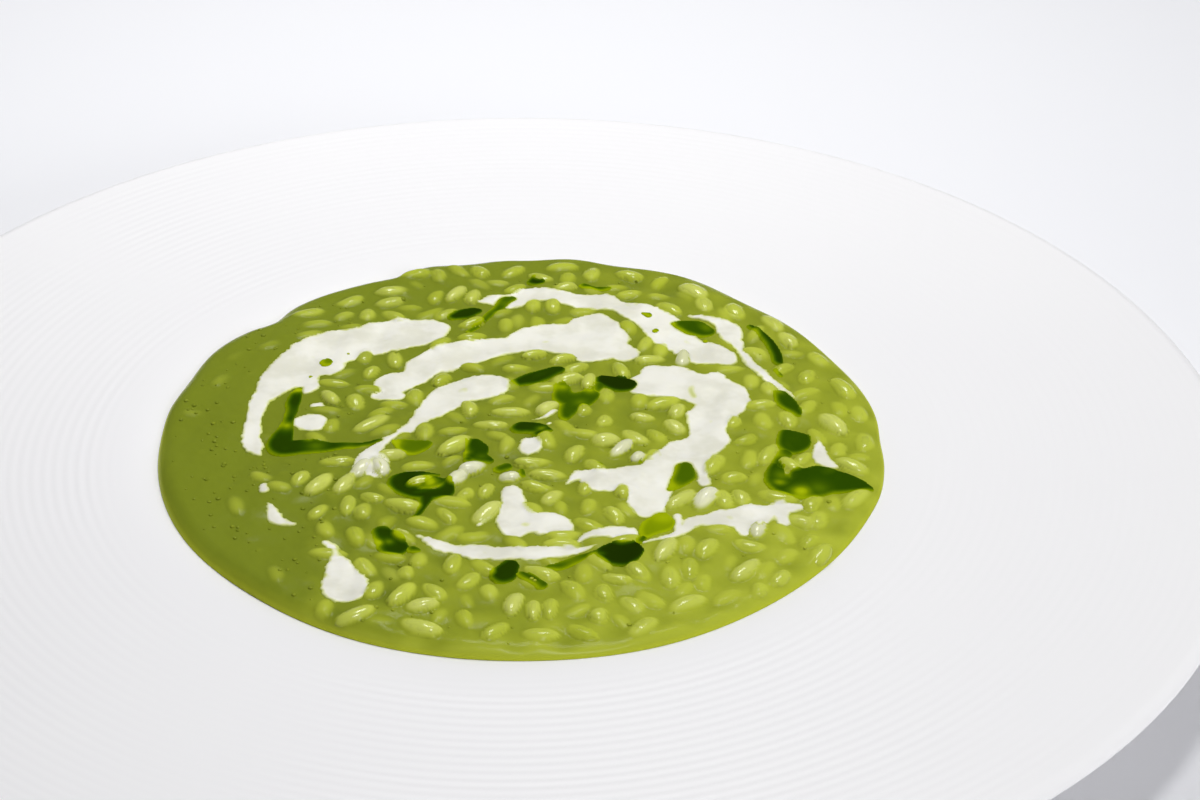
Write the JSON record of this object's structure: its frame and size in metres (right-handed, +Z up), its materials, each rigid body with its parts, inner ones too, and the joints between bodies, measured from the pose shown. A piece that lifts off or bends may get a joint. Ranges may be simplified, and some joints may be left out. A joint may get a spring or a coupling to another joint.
{
  "type": "plated green risotto",
  "caption": "Creamy green rice filling the shallow well of a wide round plate, with poured cream and drops of dark herb oil on top.",
  "frame": {"origin": "middle of the plate's foot, on the surface it stands on", "axes": "+Z up, +X to the right and -Y towards the viewer as the dish is shown"},
  "size_m": [0.3, 0.3, 0.0277],
  "materials": {
    "porcelain": "white satin glaze",
    "risotto": "creamy, softly glossy yellow-green",
    "cream": "soft satin off-white",
    "herb_oil": "clear, glossy, dark green"
  },
  "bodies": {
    "root": {"plate": "porcelain", "risotto": "risotto", "cream_left_arc": "cream", "cream_middle_arc": "cream", "cream_inner_tail": "cream", "cream_top_arc": "cream", "cream_right_strand": "cream", "cream_big_right": "cream", "cream_spiky": "cream", "cream_boot": "cream", "cream_bottom_arc": "cream", "cream_comma": "cream", "cream_oval": "cream", "cream_spot": "cream", "cream_teardrop": "cream", "cream_left_fleck": "cream", "cream_right_fleck": "cream", "oil_left_hook": "herb_oil", "oil_left_drop": "herb_oil", "oil_ring": "herb_oil", "oil_middle_left": "herb_oil", "oil_lower_left": "herb_oil", "oil_bottom": "herb_oil", "oil_bottom_dark": "herb_oil", "oil_bottom_bright": "herb_oil", "oil_middle": "herb_oil", "oil_upper_streak": "herb_oil", "oil_middle_pool": "herb_oil", "oil_upper_dark": "herb_oil", "oil_top_oval": "herb_oil", "oil_top_streak": "herb_oil", "oil_far_drop": "herb_oil", "oil_right_pool": "herb_oil", "oil_right_curl": "herb_oil", "oil_right_slant": "herb_oil", "oil_right_drop": "herb_oil", "oil_leaf": "herb_oil", "oil_right_tear": "herb_oil"}
  },
  "joints": []
}
